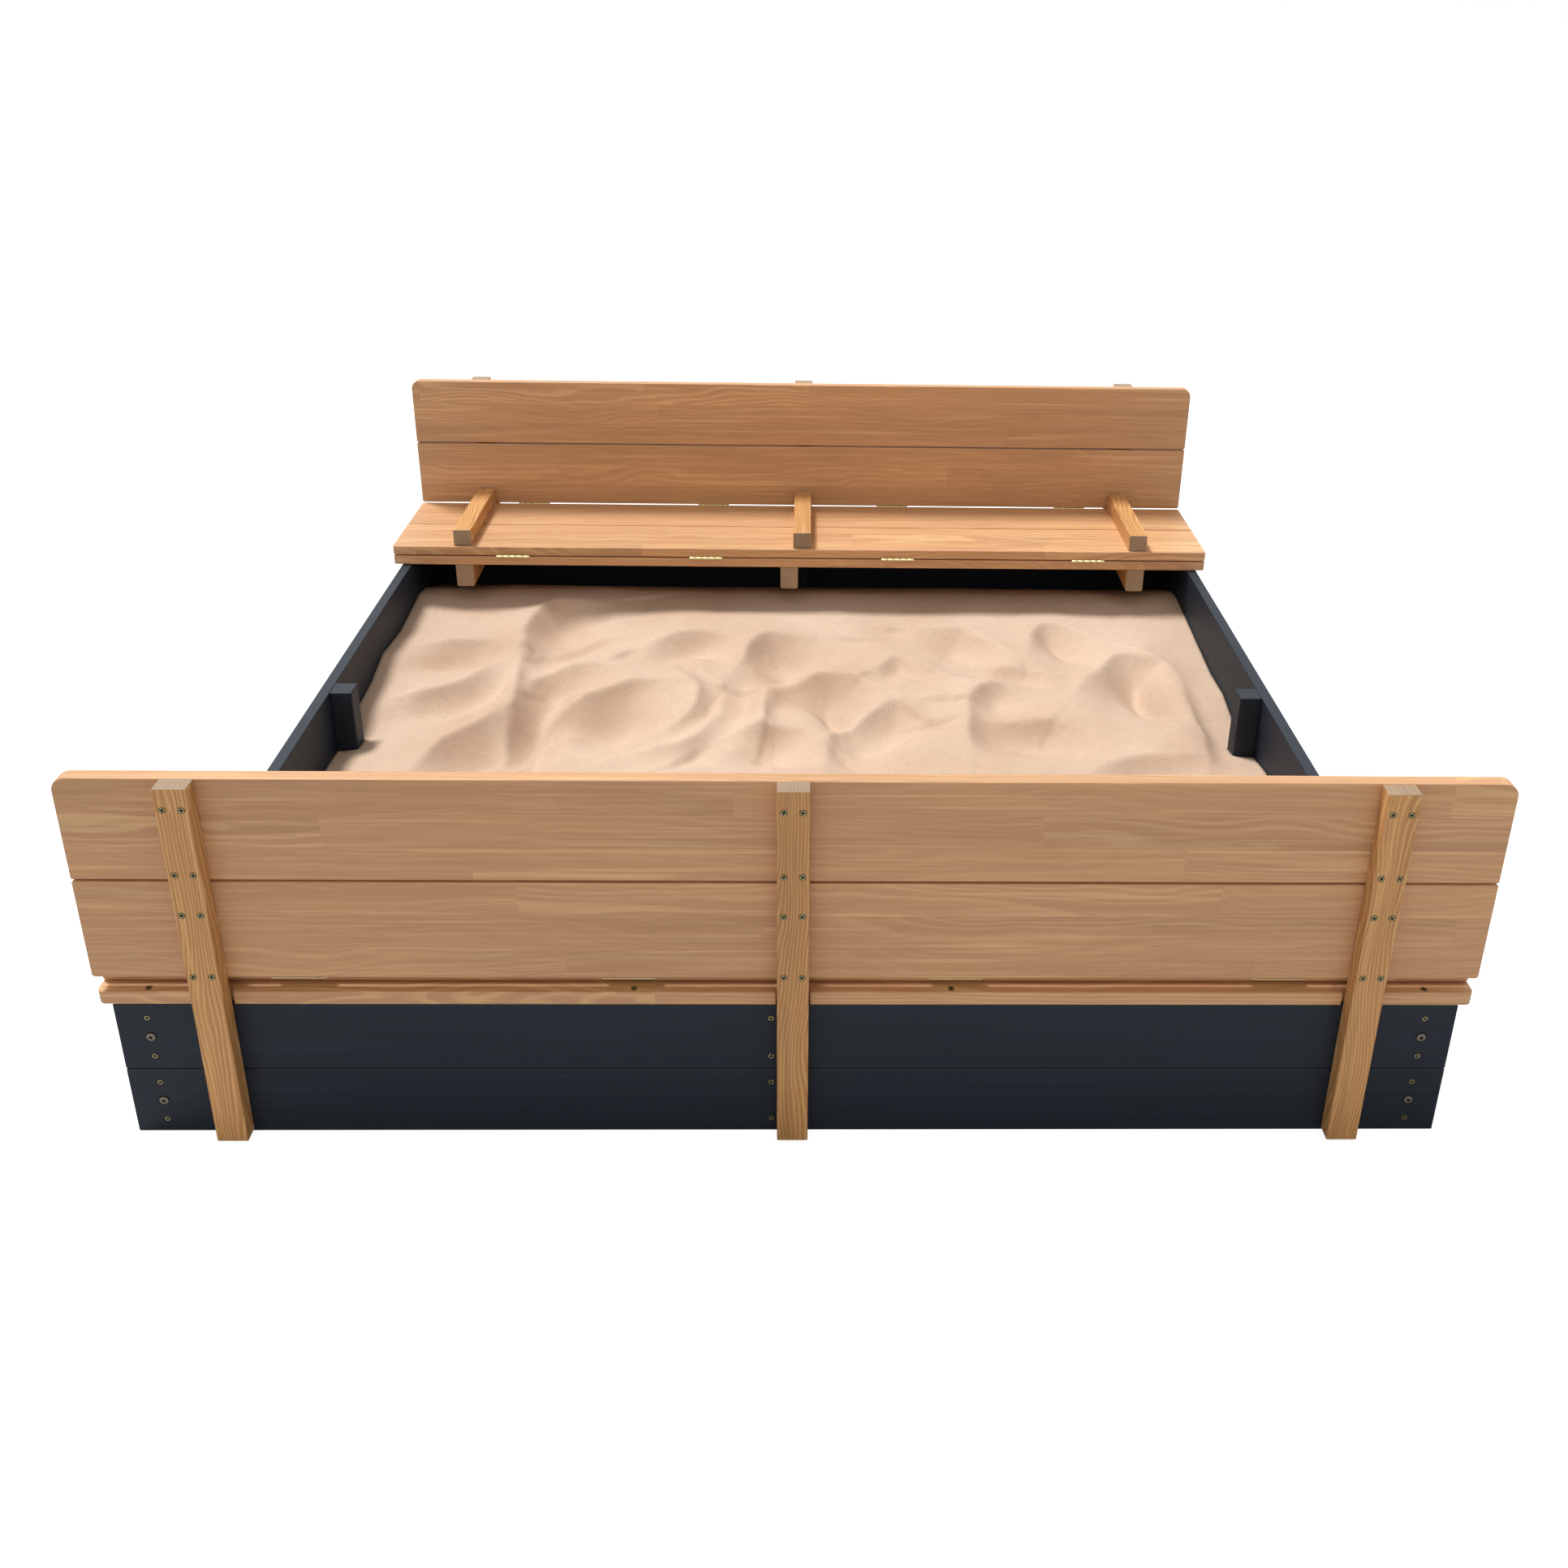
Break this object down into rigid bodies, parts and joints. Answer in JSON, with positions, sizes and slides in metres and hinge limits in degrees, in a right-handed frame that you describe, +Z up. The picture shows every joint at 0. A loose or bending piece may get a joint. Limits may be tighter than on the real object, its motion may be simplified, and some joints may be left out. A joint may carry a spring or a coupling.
{
  "type": "sandbox with cover",
  "caption": "Square wooden sandbox whose cover is made of hinged panels that fold out into facing benches with backrests, and fold back flat over the sand.",
  "frame": {"origin": "middle of the footprint, on the ground", "axes": "+Z up, X along the benches, +Y towards the rear bench"},
  "size_m": [1.53, 1.5438, 0.4687],
  "materials": {
    "box_wood": "anthracite stained softwood, matt",
    "lid_wood": "light brown stained laminated pine, satin",
    "batten_wood": "golden brown stained solid pine, satin",
    "hinge_metal": "yellow zinc plated steel",
    "sand": "dry play sand"
  },
  "bodies": {
    "box": {"wall_front_lower": "box_wood", "wall_front_upper": "box_wood", "wall_rear_lower": "box_wood", "wall_rear_upper": "box_wood", "wall_left_lower": "box_wood", "wall_left_upper": "box_wood", "wall_right_lower": "box_wood", "wall_right_upper": "box_wood", "post_corner_front_left": "box_wood", "post_corner_front_right": "box_wood", "post_corner_rear_left": "box_wood", "post_corner_rear_right": "box_wood", "post_middle_front": "box_wood", "post_middle_rear": "box_wood", "post_middle_left": "box_wood", "post_middle_right": "box_wood", "sand": "sand", "rear_base_board_inner": "lid_wood", "rear_base_board_outer": "lid_wood", "rear_base_cleat_left": "lid_wood", "rear_base_cleat_middle": "lid_wood", "rear_base_cleat_right": "lid_wood", "rear_fold_hinge_base_leaf": "hinge_metal", "rear_fold_hinge_pin": "hinge_metal", "front_base_board_inner": "lid_wood", "front_base_board_outer": "lid_wood", "front_base_cleat_left": "lid_wood", "front_base_cleat_middle": "lid_wood", "front_base_cleat_right": "lid_wood", "front_fold_hinge_base_leaf": "hinge_metal", "front_fold_hinge_pin": "hinge_metal"},
    "rear_seat": {"rear_seat_board_inner": "lid_wood", "rear_seat_board_outer": "lid_wood", "rear_seat_cleat_left": "batten_wood", "rear_seat_cleat_middle": "batten_wood", "rear_seat_cleat_right": "batten_wood", "rear_fold_hinge_seat_leaf": "hinge_metal", "rear_back_hinge_seat_leaf": "hinge_metal", "rear_back_hinge_pin": "hinge_metal"},
    "rear_back": {"rear_back_board_lower": "lid_wood", "rear_back_board_upper": "lid_wood", "rear_back_batten_left": "batten_wood", "rear_back_batten_middle": "batten_wood", "rear_back_batten_right": "batten_wood", "rear_back_hinge_back_leaf": "hinge_metal"},
    "front_seat": {"front_seat_board_inner": "lid_wood", "front_seat_board_outer": "lid_wood", "front_seat_cleat_left": "batten_wood", "front_seat_cleat_middle": "batten_wood", "front_seat_cleat_right": "batten_wood", "front_fold_hinge_seat_leaf": "hinge_metal", "front_back_hinge_seat_leaf": "hinge_metal", "front_back_hinge_pin": "hinge_metal"},
    "front_back": {"front_back_board_lower": "lid_wood", "front_back_board_upper": "lid_wood", "front_back_batten_left": "batten_wood", "front_back_batten_middle": "batten_wood", "front_back_batten_right": "batten_wood", "front_back_hinge_back_leaf": "hinge_metal"}
  },
  "joints": [
    {"name": "rear_seat_fold", "type": "hinge", "parent": "box", "child": "rear_seat", "pos_m": [0, 0.4961, 0.19855], "axis": [1, 0, 0], "range_deg": [0, 180]},
    {"name": "rear_back_fold", "type": "hinge", "parent": "rear_seat", "child": "rear_back", "pos_m": [0, 0.7357, 0.2147], "axis": [-1, 0, 0], "range_deg": [0, 90]},
    {"name": "front_seat_fold", "type": "hinge", "parent": "box", "child": "front_seat", "pos_m": [0, -0.4961, 0.19855], "axis": [-1, 0, 0], "range_deg": [0, 180]},
    {"name": "front_back_fold", "type": "hinge", "parent": "front_seat", "child": "front_back", "pos_m": [0, -0.7357, 0.2147], "axis": [1, 0, 0], "range_deg": [0, 90]}
  ],
  "couplings": [
    {"joint": "rear_back_fold", "follows": "rear_seat_fold", "ratio": 0.5},
    {"joint": "front_back_fold", "follows": "front_seat_fold", "ratio": 0.5}
  ]
}
